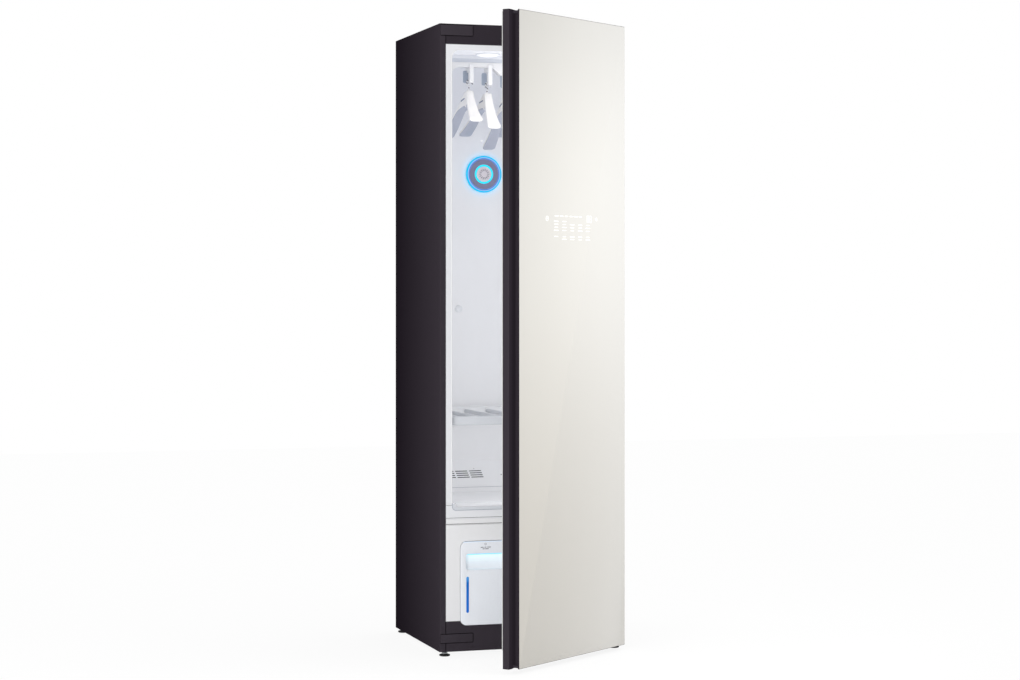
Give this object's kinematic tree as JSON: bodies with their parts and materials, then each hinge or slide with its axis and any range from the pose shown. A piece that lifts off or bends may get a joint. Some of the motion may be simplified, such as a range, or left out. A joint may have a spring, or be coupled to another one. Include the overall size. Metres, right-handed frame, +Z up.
{
  "type": "clothes care steam cabinet",
  "caption": "Tall steam wardrobe with a glass door on a full-height pocket handle, a shaking hanger rail, a lit steam outlet, a bar shelf and water tanks",
  "frame": {"origin": "on the floor, under the centre of the whole object's box with its door open as at rest", "axes": "+Z up, +X towards the door's hinge side, -Y towards the front"},
  "size_m": [0.6, 0.92, 1.967],
  "materials": {
    "case_steel": "charcoal baked enamel, fine matt texture",
    "grip_metal": "charcoal satin enamel",
    "door_glass": "warm white back-painted tempered glass, glossy",
    "cavity_white": "cool white moulding, satin gloss",
    "flange_white": "white moulding, satin gloss",
    "tank_white": "white translucent moulding, gloss",
    "sheet_steel": "galvanised sheet",
    "guide_metal": "anodised channel, satin",
    "hook_chrome": "polished wire",
    "shelf_metal": "grey satin coat",
    "foot_rubber": "black moulded rubber",
    "seal_rubber": "white soft seal",
    "press_white": "ribbed moulding, fine satin",
    "light_cyan": "lit diffuser, cyan",
    "light_white": "lit diffuser, white",
    "outlet_grey": "grey satin moulding",
    "machine_grey": "dark grey enamel",
    "machine_plastic": "dark grey moulding",
    "coil_metal": "plain fins",
    "hose_rubber": "black silicone hose",
    "board": "circuit board"
  },
  "bodies": {
    "cabinet": {"left_side_panel": "case_steel", "right_side_panel": "case_steel", "top_panel": "case_steel", "top_front_rail": "case_steel", "plinth": "case_steel", "upper_hinge_cap": "case_steel", "lower_hinge_cap": "case_steel", "top_hinge": "case_steel", "bottom_hinge": "case_steel", "inner_liner": "cavity_white", "cavity_floor": "cavity_white", "air_grille": "cavity_white", "steam_outlet_hub": "cavity_white", "lower_front_panel": "flange_white", "trim_strip": "flange_white", "back_panel": "sheet_steel", "base_pan": "sheet_steel", "rail_guide": "guide_metal", "outer_light_ring": "light_cyan", "inner_light_ring": "light_cyan", "left_ceiling_lamp": "light_white", "right_ceiling_lamp": "light_white", "steam_outlet_dish": "outlet_grey", "compressor": "machine_grey", "drive_motor": "machine_grey", "fan_housing": "machine_plastic", "control_box": "machine_plastic", "tank_sleeve": "machine_plastic", "heat_exchanger": "coil_metal", "steam_generator": "coil_metal", "steam_hose": "hose_rubber"},
    "door": {"door_glass": "door_glass", "door_frame": "case_steel", "door_handle_rail": "grip_metal", "door_back_cover": "flange_white", "door_gasket": "seal_rubber", "display_module": "board", "press_board": "press_white"},
    "press_flap": {"press_flap": "cavity_white"},
    "hanger_rail": {"hanger_rail": "cavity_white"},
    "drive_crank": {"drive_crank": "guide_metal"},
    "garment_shelf": {"garment_shelf": "shelf_metal"},
    "left_water_tank": {"left_water_tank": "tank_white"},
    "right_water_tank": {"right_water_tank": "tank_white"},
    "lint_filter": {"lint_filter": "cavity_white"},
    "fan_wheel": {"fan_wheel": "machine_plastic"},
    "hanger_1": {"hanger_1": "cavity_white", "hanger_hook_1": "hook_chrome"},
    "hanger_2": {"hanger_2": "cavity_white", "hanger_hook_2": "hook_chrome"},
    "hanger_3": {"hanger_3": "cavity_white", "hanger_hook_3": "hook_chrome"},
    "hanger_4": {"hanger_4": "cavity_white", "hanger_hook_4": "hook_chrome"},
    "hanger_5": {"hanger_5": "cavity_white", "hanger_hook_5": "hook_chrome"},
    "foot_front_left": {"foot_front_left": "foot_rubber"},
    "foot_front_right": {"foot_front_right": "foot_rubber"},
    "foot_rear_left": {"foot_rear_left": "foot_rubber"},
    "foot_rear_right": {"foot_rear_right": "foot_rubber"}
  },
  "joints": [
    {"name": "door_hinge", "type": "hinge", "parent": "cabinet", "child": "door", "pos_m": [0.264, -0.12502, 0.985], "axis": [0, 0, 1], "range_deg": [-37, 73]},
    {"name": "press_flap_hinge", "type": "hinge", "parent": "door", "child": "press_flap", "pos_m": [0.14028, -0.15026, 1.12], "axis": [0, 0, -1], "range_deg": [0, 90]},
    {"name": "rail_slide", "type": "slide", "parent": "cabinet", "child": "hanger_rail", "axis": [1, 0, 0], "range_m": [-0.01, 0.01]},
    {"name": "hanger_1_swing", "type": "hinge", "parent": "hanger_rail", "child": "hanger_1", "pos_m": [-0.126, 0.17998, 1.8045], "axis": [0, 1, 0], "range_deg": [-4, 4]},
    {"name": "hanger_2_swing", "type": "hinge", "parent": "hanger_rail", "child": "hanger_2", "pos_m": [-0.063, 0.17998, 1.7985], "axis": [0, 1, 0], "range_deg": [-4, 4]},
    {"name": "hanger_3_swing", "type": "hinge", "parent": "hanger_rail", "child": "hanger_3", "pos_m": [0, 0.17998, 1.7925], "axis": [0, 1, 0], "range_deg": [-4, 4]},
    {"name": "hanger_4_swing", "type": "hinge", "parent": "hanger_rail", "child": "hanger_4", "pos_m": [0.063, 0.17998, 1.7985], "axis": [0, 1, 0], "range_deg": [-4, 4]},
    {"name": "hanger_5_swing", "type": "hinge", "parent": "hanger_rail", "child": "hanger_5", "pos_m": [0.126, 0.17998, 1.8045], "axis": [0, 1, 0], "range_deg": [-4, 4]},
    {"name": "crank_spin", "type": "hinge", "parent": "cabinet", "child": "drive_crank", "pos_m": [0, 0.22498, 1.88], "axis": [0, 0, 1], "continuous": true},
    {"name": "shelf_lift", "type": "slide", "parent": "cabinet", "child": "garment_shelf", "axis": [0, 0, 1], "range_m": [0, 0.12]},
    {"name": "left_tank_slide", "type": "slide", "parent": "cabinet", "child": "left_water_tank", "axis": [0, -1, 0], "range_m": [0, 0.15]},
    {"name": "right_tank_slide", "type": "slide", "parent": "cabinet", "child": "right_water_tank", "axis": [0, -1, 0], "range_m": [0, 0.012]},
    {"name": "lint_filter_lift", "type": "slide", "parent": "cabinet", "child": "lint_filter", "axis": [0, 0, 1], "range_m": [0, 0.06]},
    {"name": "fan_spin", "type": "hinge", "parent": "cabinet", "child": "fan_wheel", "pos_m": [0.095, 0.22998, 0.306], "axis": [0, 1, 0], "continuous": true},
    {"name": "foot_front_left_turn", "type": "hinge", "parent": "cabinet", "child": "foot_front_left", "pos_m": [-0.279, -0.06502, 0.01], "axis": [0, 0, 1], "continuous": true},
    {"name": "foot_front_right_turn", "type": "hinge", "parent": "cabinet", "child": "foot_front_right", "pos_m": [0.279, -0.06502, 0.01], "axis": [0, 0, 1], "continuous": true},
    {"name": "foot_rear_left_turn", "type": "hinge", "parent": "cabinet", "child": "foot_rear_left", "pos_m": [-0.279, 0.43998, 0.01], "axis": [0, 0, 1], "continuous": true},
    {"name": "foot_rear_right_turn", "type": "hinge", "parent": "cabinet", "child": "foot_rear_right", "pos_m": [0.279, 0.43998, 0.01], "axis": [0, 0, 1], "continuous": true}
  ]
}
